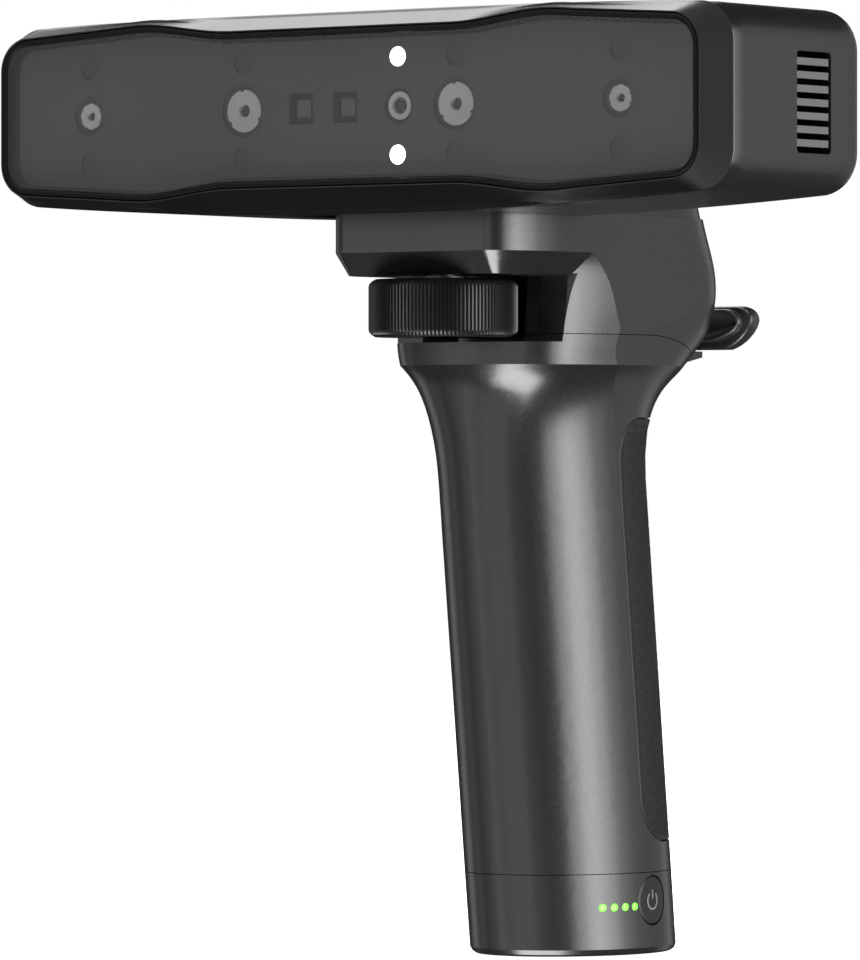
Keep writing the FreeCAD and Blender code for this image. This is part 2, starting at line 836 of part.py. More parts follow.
def onGripSurface(solid, inset):
    # Trim a side piece so that its outer face follows the grip's surface.
    skin = Part.makeLoft([gripRing(0.0, inset), gripRing(capTop + 2, inset)], True, True)
    return solid.common(skin)


buttonCap = Part.makeCylinder(size("buttonRadius"), 8, buttonSpot + Vector(3.6, 0, 0), Vector(1, 0, 0))
node(shaped("powerButton", onGripSurface(buttonCap, 0.05)), "power_button")
batteryLamps = []
for spot in lampSpots:
    place = Vector(12, gripMiddle(lampHeight) + spot, lampHeight)
    dome = Part.makeCylinder(size("batteryLampRadius") - 0.03, 9, place, Vector(1, 0, 0))
    batteryLamps.append(onGripSurface(dome, 0.0))
node(shaped("batteryLamps", Part.makeCompound(batteryLamps)), "battery_leds")
node(
    block("powerSwitch", "7.6", f"{buttonY} - 2.6", "Sizes.buttonHeight - 2.6", "5.2", "5.2", "5.2"),
    "power_switch",
)
node(block("chargeBoard", "-10.5", "-15.5", "4.6", "17.5", "31", "1.2"), "charge_board")
chargeShell = block("chargeShell", "-4.65", "6.25", "0.3", "9.3", "3.5", "4")
chargeMouth = block("chargeMouth", "-4.2", "6.7", "-0.5", "8.4", "2.6", "4")
node(cut("chargeSocket", chargeShell, chargeMouth), "charge_socket")
footScrews = [
    rod(f"footScrew{number}", "0", str(y), "0.6", "1.25", "3.6") for number, y in enumerate((-14.0, 15.0))
]
node(group("footScrews", *footScrews), "foot_screws")
node(group("headScrews", *headScrews), "head_screws")

# Two round cells stand side by side and lean with the grip.
cellTurn = Rotation(Vector(1, 0, 0), math.degrees(math.atan(size("gripLean"))))
for label, side in (("front", -1), ("rear", 1)):
    cell = doc.addObject("Part::Cylinder", f"cell_{label}")
    cell.Placement = Placement(Vector(0, gripMiddle(20) + side * 9.35, 20), cellTurn)
    cell.Radius = 9.15
    cell.Height = 65
    node(cell, f"battery_cell_{label}")
for label, low, high in (("lower", 17.0, 18.6), ("upper", 86.4, 88.4)):
    sections = [ring(z, 13.5, gripMiddle(z) - 19, gripMiddle(z) + 19) for z in (low, high)]
    node(shaped(f"holder_{label}", Part.makeLoft(sections, True, True)), f"battery_holder_{label}")
node(block("wirelessBoard", "-11", "-24", "92", "22", "1.4", "17"), "wireless_board")

# Clamp wheel and screw.

wheelBody = doc.addObject("PartDesign::Body", "wheelBody")
profile = wheelBody.newObject("Sketcher::SketchObject", "wheelProfile")
profile.AttachmentSupport = [(planeOf(wheelBody, "XY_Plane"), "")]
profile.MapMode = "FlatFace"
roundProfile(profile, 0, 0, "Sizes.wheelRadius")
roundProfile(profile, 0, 0, "Sizes.screwRadius")
pad = wheelBody.newObject("PartDesign::Pad", "wheelPad")
pad.Profile = profile
pad.setExpression("Length", "Sizes.wheelTop - Sizes.wheelBottom")
doc.recompute()
rims = [
    f"Edge{number + 1}"
    for number, edge in enumerate(pad.Shape.Edges)
    if abs(edge.Length - 2 * math.pi * size("wheelRadius")) < 0.01
]
bevel = wheelBody.newObject("PartDesign::Chamfer", "wheelChamfer")
bevel.Base = (pad, rims)
bevel.setExpression("Size", "Sizes.wheelBevel")
bind(wheelBody, Placement__Base__y="Sizes.wheelPlace", Placement__Base__z="Sizes.wheelBottom")
node(wheelBody, "clamp_wheel")

screwBottom = "Sizes.wheelBottom + 0.8"
node(rod("clampScrew", "0", "Sizes.wheelPlace", screwBottom, "Sizes.screwRadius", "30"), "clamp_screw")
clipOuter = rod("clipOuter", "0", "Sizes.wheelPlace", "Sizes.wheelTop", "5", "0.5")
clipInner = rod("clipInner", "0", "Sizes.wheelPlace", "Sizes.wheelTop - 1", "Sizes.screwRadius", "3")
node(cut("retainingClip", clipOuter, clipInner), "retaining_clip")

# Cam lever.

bladeLow, bladeHigh = size("leverBottom"), size("leverTop")
tip = leverX + size("leverReach")


def bladeOutline(inset, endInset, low, depth):
    # Front view of the lever: a level top, a round upper corner and a slanted lower one.
    right = tip - endInset
    top = bladeHigh - inset
    start = leverX + (3.0 if inset else 0.0)
    upper = Part.Arc(
        Vector(right - 3.4, depth, top),
        Vector(right - 0.75, depth, top - 0.75),
        Vector(right, depth, top - 2.7),
    )
    lower = Part.Arc(
        Vector(right, depth, top - 2.7),
        Vector(right - 2.4, depth, low + 1.6),
        Vector(right - 6.4, depth, low),
    )
    return Part.Wire(
        [
            Part.makeLine(Vector(start, depth, top), Vector(right - 3.4, depth, top)),
            upper.toShape(),
            lower.toShape(),
            Part.makeLine(Vector(right - 6.4, depth, low), Vector(start, depth, low)),
            Part.makeLine(Vector(start, depth, low), Vector(start, depth, top)),
        ]
    )


bladeFront = leverY - size("leverThick") / 2
blade = Part.Face(bladeOutline(0.0, 0.0, bladeLow, bladeFront)).extrude(Vector(0, size("leverThick"), 0))
hub = Part.makeCylinder(3.4, bladeHigh - bladeLow, Vector(leverX, leverY, bladeLow))
leverBore = Part.makeCylinder(size("leverPinRadius") + 0.05, 30, Vector(leverX, leverY, 112))
leverSolid = blade.fuse(hub).cut(leverBore)
node(shaped("camLever", leverSolid.removeSplitter()), "cam_lever")
fingerPad = Part.Face(bladeOutline(0.1, 2.6, bladeLow + 2.2, bladeFront - 2.0)).extrude(Vector(0, 2.0, 0))
scoop = Part.makeCylinder(9.0, 60, Vector(leverX - 5, bladeFront - 10.3, bladeLow + 5.4), Vector(1, 0, 0))
fingerPad = fingerPad.cut(scoop).cut(Part.makeBox(8, 6, 12, Vector(leverX - 1, bladeFront - 3, bladeLow - 1)))
node(shaped("leverPad", fingerPad), "lever_pad")
pinStart = "Sizes.leverBottom - 3.3"
leverPin = rod("leverPin", "Sizes.leverPinX", "Sizes.leverPinY", pinStart, "Sizes.leverPinRadius", "15.4")
node(leverPin, "lever_pin")

# Check and write.

doc.recompute()
for obj in doc.Objects:
    if "Invalid" in obj.State or "Error" in obj.State:
        raise RuntimeError(f"{obj.Name} failed: {obj.State}")
for obj in nodes:
    if obj.Shape.isNull() or not obj.Shape.isValid():
        raise RuntimeError(f"{obj.Label} has no valid shape")

os.makedirs("parts", exist_ok=True)
for obj in nodes:
    obj.Shape.exportStep(f"parts/{obj.Label}.step")
    box = obj.Shape.BoundBox
    print(f"{obj.Label:24s} solids {len(obj.Shape.Solids)} volume {obj.Shape.Volume:9.0f}")
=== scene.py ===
import json
import math
import bmesh
import bpy
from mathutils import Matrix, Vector


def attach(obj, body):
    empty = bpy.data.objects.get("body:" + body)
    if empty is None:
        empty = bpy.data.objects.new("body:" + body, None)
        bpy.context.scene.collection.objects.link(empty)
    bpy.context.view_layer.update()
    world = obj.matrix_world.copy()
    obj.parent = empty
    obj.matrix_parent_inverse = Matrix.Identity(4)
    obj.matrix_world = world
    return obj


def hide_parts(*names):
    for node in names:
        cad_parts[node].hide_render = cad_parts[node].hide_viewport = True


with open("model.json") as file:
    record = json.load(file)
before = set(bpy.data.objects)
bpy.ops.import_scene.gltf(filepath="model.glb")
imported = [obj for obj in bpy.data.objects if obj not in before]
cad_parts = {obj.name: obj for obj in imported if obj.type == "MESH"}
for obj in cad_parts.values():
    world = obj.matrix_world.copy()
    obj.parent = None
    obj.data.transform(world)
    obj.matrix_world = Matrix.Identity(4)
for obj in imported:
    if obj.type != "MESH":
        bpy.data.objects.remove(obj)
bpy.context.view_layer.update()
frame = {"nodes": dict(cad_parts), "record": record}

nodes = frame["nodes"]
print("frame loaded:", len(nodes), "nodes")


# camera, floor and light
view = {
    "place": (0.9318, -1.2833, 0.094),
    "turn": 37.0,      # degrees round the handle
    "lens": 297.8,     # long lens, so little perspective
}

studio = {
    "backdrop": 1.0,
    "fill": 0.02,
    "floorTone": 0.92,
    "floorGlow": 1.02,
    "aim": (0, -0.02, 0.1),
}

# tall soft strips stand all round the object: degrees from the front, and power
wall = [
    (-100, 1.9), (-75, 1.2), (-52, 1.3), (-35, 3.8), (-18, 2.5), (-3, 3.0), (14, 3.2), (32, 0.9),
    (55, 0.6), (75, 13.5), (90, 26.0), (105, 16.5), (122, 4.6), (140, 1.8), (158, 1.2), (178, 1.6),
]
strip = {"height": 0.15, "distance": 1.6, "width": 0.45, "tall": 1.7}
# name, degrees from the front, height, distance, width, how tall, power
softboxes = [
    ("topLeft", -90, 1.7, 0.8, 1.2, 0.8, 9),
    ("topFront", -20, 1.6, 0.9, 1.6, 0.9, 34),
    ("bevelTop", -130, 1.35, 1.55, 1.2, 0.7, 9),
    ("lowFront", 12, -1.25, 0.8, 1.3, 1.0, 62),
]


def aimAt(obj, spot):
    direction = Vector(spot) - obj.location
    obj.rotation_euler = direction.to_track_quat("-Z", "Y").to_euler()


def softbox(name, around, height, distance, width, tall, power):
    # around is in degrees from the front, towards the +X end
    lamp = bpy.data.lights.new(name, "AREA")
    lamp.shape = "RECTANGLE"
    lamp.size = width
    lamp.size_y = tall
    lamp.energy = power
    obj = bpy.data.objects.new(name, lamp)
    angle = math.radians(around)
    obj.location = (distance * math.sin(angle), -distance * math.cos(angle), height)
    bpy.context.collection.objects.link(obj)
    aimAt(obj, studio["aim"])


def makeStudio():
    scene = bpy.context.scene
    scene.view_settings.view_transform = "Standard"
    camData = bpy.data.cameras.new("camera")
    camData.lens = view["lens"]
    camData.clip_end = 20
    cam = bpy.data.objects.new("camera", camData)
    cam.location = view["place"]
    cam.rotation_euler = (math.radians(90), 0, math.radians(view["turn"]))
    bpy.context.collection.objects.link(cam)
    scene.camera = cam

    world = bpy.data.worlds.new("studio")
    scene.world = world
    world.use_nodes = True
    tree = world.node_tree
    tree.nodes.clear()
    out = tree.nodes.new("ShaderNodeOutputWorld")
    seen = tree.nodes.new("ShaderNodeBackground")
    seen.inputs["Strength"].default_value = studio["backdrop"]
    felt = tree.nodes.new("ShaderNodeBackground")
    felt.inputs["Color"].default_value = (1, 1, 1, 1)
    felt.inputs["Strength"].default_value = studio["fill"]
    path = tree.nodes.new("ShaderNodeLightPath")
    mix = tree.nodes.new("ShaderNodeMixShader")
    seen.inputs["Color"].default_value = (1, 1, 1, 1)
    tree.links.new(path.outputs["Is Camera Ray"], mix.inputs["Fac"])
    tree.links.new(felt.outputs[0], mix.inputs[1])
    tree.links.new(seen.outputs[0], mix.inputs[2])
    tree.links.new(mix.outputs[0], out.inputs["Surface"])

    for around, power in wall:
        softbox(f"wall{around}", around, *strip.values(), power)
    for row in softboxes:
        softbox(*row)

    bpy.ops.mesh.primitive_grid_add(x_subdivisions=8, y_subdivisions=8, size=12, location=(0, 0, -0.0004))
    floor = bpy.context.object
    floor.name = "floor"
    mat = bpy.data.materials.new("floorPaper")
    mat.use_nodes = True
    tree = mat.node_tree
    shader = tree.nodes["Principled BSDF"]
    tone = studio["floorTone"]
    shader.inputs["Base Color"].default_value = (tone, tone, tone, 1)
    shader.inputs["Roughness"].default_value = 0.9
    shader.inputs["Specular IOR Level"].default_value = 0.0
    glow = tree.nodes.new("ShaderNodeEmission")
    glow.inputs["Strength"].default_value = studio["floorGlow"]
    both = tree.nodes.new("ShaderNodeAddShader")
    tree.links.new(shader.outputs[0], both.inputs[0])
    tree.links.new(glow.outputs[0], both.inputs[1])
    tree.links.new(both.outputs[0], tree.nodes["Material Output"].inputs["Surface"])
    floor.data.materials.append(mat)
    floor.visible_diffuse = False
    floor.visible_shadow = False
    floor.visible_glossy = False
    print("studio ready")


makeStudio()


# materials
def newMaterial(name):
    mat = bpy.data.materials.new(name)
    mat.use_nodes = True
    shader = mat.node_tree.nodes["Principled BSDF"]
    return mat, mat.node_tree, shader


def objectCoords(tree):
    return tree.nodes.new("ShaderNodeTexCoord").outputs["Object"]


def noise(tree, scale, detail=3.0, rough=0.5, coords=None):
    node = tree.nodes.new("ShaderNodeTexNoise")
    node.inputs["Scale"].default_value = scale
    node.inputs["Detail"].default_value = detail
    node.inputs["Roughness"].default_value = rough
    tree.links.new(coords or objectCoords(tree), node.inputs["Vector"])
    return node.outputs["Fac"]


def ramp(tree, source, low, high, start=0.35, end=0.65):
    node = tree.nodes.new("ShaderNodeValToRGB")
    node.color_ramp.elements[0].position = start
    node.color_ramp.elements[0].color = (*low, 1)
    node.color_ramp.elements[1].position = end
    node.color_ramp.elements[1].color = (*high, 1)
    tree.links.new(source, node.inputs["Fac"])
    return node.outputs["Color"]


def spread(tree, source, low, high):
    # maps 0..1 to low..high
    node = tree.nodes.new("ShaderNodeMapRange")
    node.inputs["To Min"].default_value = low
    node.inputs["To Max"].default_value = high
    tree.links.new(source, node.inputs["Value"])
    return node.outputs["Result"]


def bump(tree, shader, source, depth, strength=1.0):
    node = tree.nodes.new("ShaderNodeBump")
    node.inputs["Distance"].default_value = depth
    node.inputs["Strength"].default_value = strength
    tree.links.new(source, node.inputs["Height"])
    tree.links.new(node.outputs["Normal"], shader.inputs["Normal"])


def toned(tree, shader, source, tone, low, high):
    # the base colour wanders between two shares of one tone
    colours = ramp(tree, source, [c * low for c in tone], [c * high for c in tone])
    tree.links.new(colours, shader.inputs["Base Color"])


def mouldedPlastic(name, tone, roughness, grain=0.000005, specular=0.5):
    # satin moulding: fine spark grain, slow changes of tone and a little wear of the gloss
    mat, tree, shader = newMaterial(name)
    toned(tree, shader, noise(tree, 22, 2), tone, 0.94, 1.06)
    fine = noise(tree, 900, 2)
    tree.links.new(spread(tree, fine, roughness - 0.03, roughness + 0.03), shader.inputs["Roughness"])
    bump(tree, shader, noise(tree, 2600, 2), grain, 0.5)
    shader.inputs["Specular IOR Level"].default_value = specular
    return mat


def glossPlastic(name, tone, roughness, specular=0.5, coat=0.4):
    mat, tree, shader = newMaterial(name)
    toned(tree, shader, noise(tree, 14, 2), tone, 0.85, 1.15)
    gloss = spread(tree, noise(tree, 60, 4), roughness * 0.8, roughness * 1.25)
    tree.links.new(gloss, shader.inputs["Roughness"])
    shader.inputs["Specular IOR Level"].default_value = specular
    shader.inputs["Coat Weight"].default_value = coat
    shader.inputs["Coat Roughness"].default_value = 0.08
    return mat


# distance from the middle of the head where the gloss starts to fall and where it has gone, in metres
bezelGloss = {"falls": 0.0775, "gone": 0.0845, "polished": 0.26, "matt": 0.95}


def bezelPlastic(name, tone):
    # polished along the top and bottom, and worn matt at both ends
    mat, tree, shader = newMaterial(name)
    toned(tree, shader, noise(tree, 14, 2), tone, 0.85, 1.15)
    split = tree.nodes.new("ShaderNodeSeparateXYZ")
    tree.links.new(objectCoords(tree), split.inputs[0])
    away = tree.nodes.new("ShaderNodeMath")
    away.operation = "ABSOLUTE"
    tree.links.new(split.outputs["X"], away.inputs[0])
    change = tree.nodes.new("ShaderNodeMapRange")
    change.interpolation_type = "SMOOTHSTEP"
    change.inputs["From Min"].default_value = bezelGloss["falls"]
    change.inputs["From Max"].default_value = bezelGloss["gone"]
    change.inputs["To Min"].default_value = bezelGloss["polished"]
    change.inputs["To Max"].default_value = bezelGloss["matt"]
    tree.links.new(away.outputs[0], change.inputs["Value"])
    tree.links.new(change.outputs["Result"], shader.inputs["Roughness"])
    shader.inputs["Specular IOR Level"].default_value = 0.3
    return mat


def rubber(name, tone, roughness=0.7, pitch=0.0011, depth=0.00025):
    # soft rubber with a fine pebbled grain
    mat, tree, shader = newMaterial(name)
    toned(tree, shader, noise(tree, 300, 3), tone, 0.8, 1.25)
    shader.inputs["Roughness"].default_value = roughness
    shader.inputs["Specular IOR Level"].default_value = 0.35
    cells = tree.nodes.new("ShaderNodeTexVoronoi")
    cells.inputs["Scale"].default_value = 1 / pitch
    tree.links.new(objectCoords(tree), cells.inputs["Vector"])
    bump(tree, shader, cells.outputs["Distance"], depth, 0.7)
    return mat


def metal(name, tone, roughness, stretch=(1, 1, 30)):
    mat, tree, shader = newMaterial(name)
    mapping = tree.nodes.new("ShaderNodeMapping")
    mapping.inputs["Scale"].default_value = stretch
    tree.links.new(objectCoords(tree), mapping.inputs["Vector"])
    lines = noise(tree, 160, 4, 0.6, mapping.outputs["Vector"])
    toned(tree, shader, lines, tone, 0.88, 1.0)
    tree.links.new(spread(tree, lines, roughness - 0.06, roughness + 0.08), shader.inputs["Roughness"])
    shader.inputs["Metallic"].default_value = 1.0
    return mat


def tintedPane(name):
    # dark see-through pane with a faint haze inside it
    mat, tree, shader = newMaterial(name)
    haze = noise(tree, 9, 2)
    colours = ramp(tree, haze, (0.036, 0.034, 0.0365), (0.040, 0.038, 0.0405))
    tree.links.new(colours, shader.inputs["Base Color"])
    shader.inputs["Roughness"].default_value = 0.3
    shader.inputs["Alpha"].default_value = 0.3
    shader.inputs["Specular IOR Level"].default_value = 0.3
    return mat


def glowing(name, tone, power):
    mat, tree, shader = newMaterial(name)
    toned(tree, shader, noise(tree, 700, 2), tone, 0.85, 1.0)
    shader.inputs["Emission Color"].default_value = (*tone, 1)
    shader.inputs["Emission Strength"].default_value = power
    shader.inputs["Roughness"].default_value = 0.3
    return mat


def boardFinish(name):
    mat, tree, shader = newMaterial(name)
    bricks = tree.nodes.new("ShaderNodeTexBrick")
    bricks.inputs["Scale"].default_value = 260
    bricks.inputs["Color1"].default_value = (0.012, 0.07, 0.03, 1)
    bricks.inputs["Color2"].default_value = (0.016, 0.09, 0.04, 1)
    bricks.inputs["Mortar"].default_value = (0.05, 0.16, 0.07, 1)
    tree.links.new(objectCoords(tree), bricks.inputs["Vector"])
    tree.links.new(bricks.outputs["Color"], shader.inputs["Base Color"])
    shader.inputs["Roughness"].default_value = 0.35
    return mat


finish = {
    "satinShell": mouldedPlastic("satinShell", (0.0062, 0.0062, 0.0068), 0.27),
    "glossBezel": bezelPlastic("glossBezel", (0.0022, 0.0022, 0.0026)),
    "tintedPane": tintedPane("tintedPane"),
    "gripRubber": rubber("gripRubber", (0.018, 0.018, 0.019)),
    "sealRubber": mouldedPlastic("sealRubber", (0.0015, 0.0015, 0.0015), 0.5, specular=0.08),
    "opticsBlack": mouldedPlastic("opticsBlack", (0.052, 0.0495, 0.053), 0.7, specular=0.2),
    "moduleBlack": mouldedPlastic("moduleBlack", (0.010, 0.010, 0.011), 0.6, specular=0.2),
    "ringGrey": mouldedPlastic("ringGrey", (0.40, 0.38, 0.39), 0.6),
    "lensGlass": glossPlastic("lensGlass", (0.012, 0.012, 0.016), 0.06),
    "whiteLamp": glowing("whiteLamp", (1.0, 1.0, 1.0), 9.0),
    "infraredWindow": mouldedPlastic("infraredWindow", (0.045, 0.042, 0.045), 0.6, specular=0.2),
    "greenLamp": glowing("greenLamp", (0.12, 0.66, 0.035), 1.0),
    "board": boardFinish("board"),
    "castAluminium": metal("castAluminium", (0.72, 0.73, 0.75), 0.38),
    "turnedBrass": metal("turnedBrass", (0.75, 0.55, 0.26), 0.3),
    "steel": metal("steel", (0.10, 0.10, 0.105), 0.4),
    "cellSleeve": glossPlastic("cellSleeve", (0.03, 0.14, 0.35), 0.3),
    "wheelBlack": mouldedPlastic("wheelBlack", (0.003, 0.003, 0.0033), 0.3, specular=0.32),
}

slotFinish = {
    "satin_shell": "satinShell",
    "gloss_bezel": "glossBezel",
    "tinted_glass": "tintedPane",
    "black_rubber": "gripRubber",
    "optics_black": "opticsBlack",
    "lens_glass": "lensGlass",
    "white_lamp": "whiteLamp",
    "infrared_window": "infraredWindow",
    "green_lamp": "greenLamp",
    "circuit_board": "board",
    "aluminium": "castAluminium",
    "brass": "turnedBrass",
    "steel": "steel",
    "cell_sleeve": "cellSleeve",
}
ownFinish = {
    "window_gasket": "sealRubber",
    "deck_pad": "sealRubber",
    "clamp_wheel": "wheelBlack",
}


def setFinish(obj, name):
    obj.data.materials.clear()
    obj.data.materials.append(finish[name])


def dressNodes():
    slots = {row["node"]: row["material_slot"] for row in frame["record"]["subparts"]}
    for name, obj in nodes.items():
        setFinish(obj, ownFinish.get(name, slotFinish[slots[name]]))
        for face in obj.data.polygons:
            face.use_smooth = True
        keep = obj.modifiers.new("edges", "EDGE_SPLIT")
        keep.split_angle = math.radians(32)
    print("finishes on", len(nodes), "nodes")


dressNodes()


# mesh helpers (all sizes here are in millimetres, and the meshes are made in metres)
mm = 0.001


def point(x, y, z):
    return Vector((x * mm, y * mm, z * mm))


def finishMesh(mesh, name, material, body, replaces=(), slot=None, sharp=32.0, bevel=None):
    bmesh.ops.recalc_face_normals(mesh, faces=mesh.faces)
    data = bpy.data.meshes.new(name)
    mesh.to_mesh(data)
    mesh.free()
    obj = bpy.data.objects.new(name, data)
    bpy.context.collection.objects.link(obj)
    obj.data.materials.append(finish[material])
    for face in data.polygons:
        face.use_smooth = True
    if bevel:
        soft = obj.modifiers.new("softEdges", "BEVEL")
        soft.width = bevel * mm
        soft.segments = 3
        soft.limit_method = "ANGLE"
        soft.angle_limit = math.radians(sharp)
        soft.harden_normals = True
    split = obj.modifiers.new("edges", "EDGE_SPLIT")
    split.split_angle = math.radians(60 if bevel else sharp)
    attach(obj, body)
    if replaces:
        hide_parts(*replaces)
    return obj


def loftRings(rings, capStart=True, capEnd=True, mesh=None):
    # skins a row of closed rings that all have the same number of points
    mesh = mesh or bmesh.new()
    rows = [[mesh.verts.new(p) for p in ring] for ring in rings]
    count = len(rows[0])
    for one, two in zip(rows, rows[1:]):
        for i in range(count):
            j = (i + 1) % count
            mesh.faces.new((one[i], one[j], two[j], two[i]))
    if capStart:
        mesh.faces.new(rows[0][::-1])
    if capEnd:
        mesh.faces.new(rows[-1])
    return mesh


def ringAround(centre, axis, radius, steps, shape=None):
    # points of a circle about an axis ("x", "y" or "z"); shape(angle) scales the radius
    found = []
    for step in range(steps):
        angle = 2 * math.pi * step / steps
        r = radius * (shape(angle) if shape else 1.0)
        a, b = r * math.cos(angle), r * math.sin(angle)
        x, y, z = centre
        if axis == "x":
            found.append(point(x, y + a, z + b))
        elif axis == "y":
            found.append(point(x + a, y, z + b))
        else:
            found.append(point(x + a, y + b, z))
    return found


def turned(name, centre, axis, profile, material, body, steps=64, **more):
    # solid of revolution: profile is a list of (radius, distance along the axis)
    index = "xyz".index(axis)
    rings = []
    for radius, along in profile:
        spot = list(centre)
        spot[index] += along
        rings.append(ringAround(spot, axis, max(radius, 0.001), steps))
    return finishMesh(loftRings(rings), name, material, body, **more)


def smoothStep(start, end, value):
    part = min(max((value - start) / (end - start), 0.0), 1.0)
    return part * part * (3.0 - 2.0 * part)


# sensor head
head = {
    "halfLength": 87.5,
    "top": 184.4, "topFall": 0.8,
    "bottom": 145.25, "bottomRise": 2.9,
    "corner": 7.8,
    "front": -76.0,
    "rim": -69.0,
    "rear": -24.9,
    "rearRound": 4.2,
    "wall": 2.0,
    "sight": 165.7,
}
window = {
    "halfLength": 83.0,
    "waist": 13.9, "peak": 15.9, "end": 14.2,
    "waistEnds": 27.0, "peakStands": 49.0, "taperEnds": 77.0,
    "corner": 5.0,
    "gasket": 1.2,
}
cornerSteps, edgeSteps, sideSteps = 10, 64, 8


def windowHalfHeight(x):
    rise = smoothStep(window["waistEnds"], window["peakStands"], abs(x)) * (window["peak"] - window["waist"])
    fall = max(abs(x) - window["peakStands"], 0.0) / (window["taperEnds"] - window["peakStands"])
    ease = smoothStep(window["peakStands"] - 4, window["peakStands"] + 8, abs(x))
    return window["waist"] + rise - fall * ease * (window["peak"] - window["end"])


def frameOutline(depth, halfLength, top, bottom, corner):
    # closed outline at one depth, with round corners, in an even order of points
    reach = halfLength - corner
    found = []

    def bend(cx, cz, start):
        for step in range(1, cornerSteps):
            angle = math.radians(start - 90.0 * step / cornerSteps)
            found.append(point(cx + corner * math.cos(angle), depth, cz + corner * math.sin(angle)))

    high, low = top(reach) - corner, bottom(reach) + corner
    for step in range(edgeSteps + 1):
        x = -reach + 2 * reach * step / edgeSteps
        found.append(point(x, depth, top(x)))
    bend(reach, high, 90.0)
    for step in range(sideSteps + 1):
        found.append(point(halfLength, depth, high + (low - high) * step / sideSteps))
    bend(reach, low, 0.0)
    for step in range(edgeSteps + 1):
        x = reach - 2 * reach * step / edgeSteps
        found.append(point(x, depth, bottom(x)))
    bend(-reach, low, -90.0)
    for step in range(sideSteps + 1):
        found.append(point(-halfLength, depth, low + (high - low) * step / sideSteps))
    bend(-reach, high, 180.0)
    return found


def windowRing(depth, grow):
    def half(x):
        return windowHalfHeight(x) + grow

    return frameOutline(
        depth, window["halfLength"] + grow,
        lambda x: head["sight"] + half(x), lambda x: head["sight"] - half(x), window["corner"] + grow,
    )


def headRing(depth, inset):
    def top(x):
        return head["top"] - inset - head["topFall"] * (x / 80.0) ** 4

    def bottom(x):
        return head["bottom"] + inset + head["bottomRise"] * (x / 80.0) ** 2

    return frameOutline(depth, head["halfLength"] - inset, top, bottom, head["corner"] - inset * 0.6)


def between(one, two, share):
    # a ring part of the way from one ring to another
    return [a.lerp(b, share) for a, b in zip(one, two)]


def makeBezel():
    lip = windowRing(head["front"], window["gasket"] + 0.35)
    rim = headRing(head["rim"], 0.0)
    rings = [
        windowRing(head["front"] + 3.6, window["gasket"] + 0.02),
        windowRing(head["front"] + 0.35, window["gasket"] + 0.02),
        windowRing(head["front"] + 0.05, window["gasket"] + 0.14),
        lip,
        between(lip, rim, 0.06),
    ]
    rings += [between(lip, rim, 0.06 + 0.80 * step / 8) for step in range(1, 9)]
    # the last part of the bevel turns into the side wall
    rings += [headRing(head["rim"] - ahead, inset) for ahead, inset in ((0.75, 0.18), (0.3, 0.03), (0.0, 0.0))]
    rings += [headRing(head["rim"], head["wall"]), windowRing(head["front"] + 3.6, window["gasket"] + 1.4)]
    mesh = loftRings(rings, False, False)
    first, last = rings[0], rings[-1]
    count = len(first)
    mesh.verts.ensure_lookup_table()
    lastStart = len(mesh.verts) - count
    for i in range(count):
        j = (i + 1) % count
        mesh.faces.new((mesh.verts[i], mesh.verts[lastStart + i], mesh.verts[lastStart + j], mesh.verts[j]))
    finishMesh(mesh, "bezelFrame", "glossBezel", "scanner", ("head_bezel",), "gloss_bezel", sharp=50)


def makeWindow():
    front = head["front"] + 0.12
    rings = [
        windowRing(front + 1.4, -0.02),
        windowRing(front + 0.22, -0.02),
        windowRing(front + 0.06, -0.09),
        windowRing(front, -0.25),
    ]
    finishMesh(loftRings(rings), "windowPane", "tintedPane", "scanner", ("front_window",), "tinted_glass",
               sharp=50)


def makeGasket():
    front = head["front"] + 0.1
    wide = window["gasket"] - 0.03
    rings = [
        windowRing(front + 2.2, 0.03), windowRing(front + 0.3, 0.03), windowRing(front + 0.02, 0.2),
        windowRing(front - 0.04, wide / 2), windowRing(front + 0.02, wide - 0.2),
        windowRing(front + 0.3, wide),
        windowRing(front + 2.2, wide), windowRing(front + 2.2, 0.03),
    ]
    mesh = loftRings(rings, False, False)
    bmesh.ops.remove_doubles(mesh, verts=mesh.verts, dist=1e-7)
    finishMesh(mesh, "gasketLoop", "sealRubber", "scanner", ("window_gasket",), "black_rubber", sharp=50)


def cutWith(obj, tools):
    # takes boxes out of a mesh and leaves one plain mesh behind
    for tool in tools:
        trim = obj.modifiers.new("cut", "BOOLEAN")
        trim.operation = "DIFFERENCE"
        trim.solver = "EXACT"
        trim.object = tool
    split = obj.modifiers.get("edges")
    split.show_viewport = False
    graph = bpy.context.evaluated_depsgraph_get()
    made = bpy.data.meshes.new_from_object(obj.evaluated_get(graph))
    for item in list(obj.modifiers):
        if item.type != "EDGE_SPLIT":
            obj.modifiers.remove(item)
    split.show_viewport = True
    obj.data = made
    for tool in tools:
        bpy.data.objects.remove(tool)


def addBlock(mesh, low, high):
    low, high = [min(a, b) for a, b in zip(low, high)], [max(a, b) for a, b in zip(low, high)]
    made = bmesh.ops.create_cube(mesh, size=1.0)["verts"]
    bmesh.ops.scale(mesh, vec=[(h - l) * mm for l, h in zip(low, high)], verts=made)
    bmesh.ops.translate(mesh, vec=[(h + l) / 2 * mm for l, h in zip(low, high)], verts=made)


def cutter(mesh):
    data = bpy.data.meshes.new("cutter")
    mesh.to_mesh(data)
    mesh.free()
    obj = bpy.data.objects.new("cutter", data)
    bpy.context.collection.objects.link(obj)
    return obj


def cutterBox(low, high, roundness=0.0):
    mesh = bmesh.new()
    addBlock(mesh, low, high)
    if roundness:
        along = [e for e in mesh.edges if abs((e.verts[0].co - e.verts[1].co).x) > 1e-6]
        bmesh.ops.bevel(mesh, geom=along, offset=roundness * mm, segments=4, profile=0.5, affect="EDGES")
    return cutter(mesh)


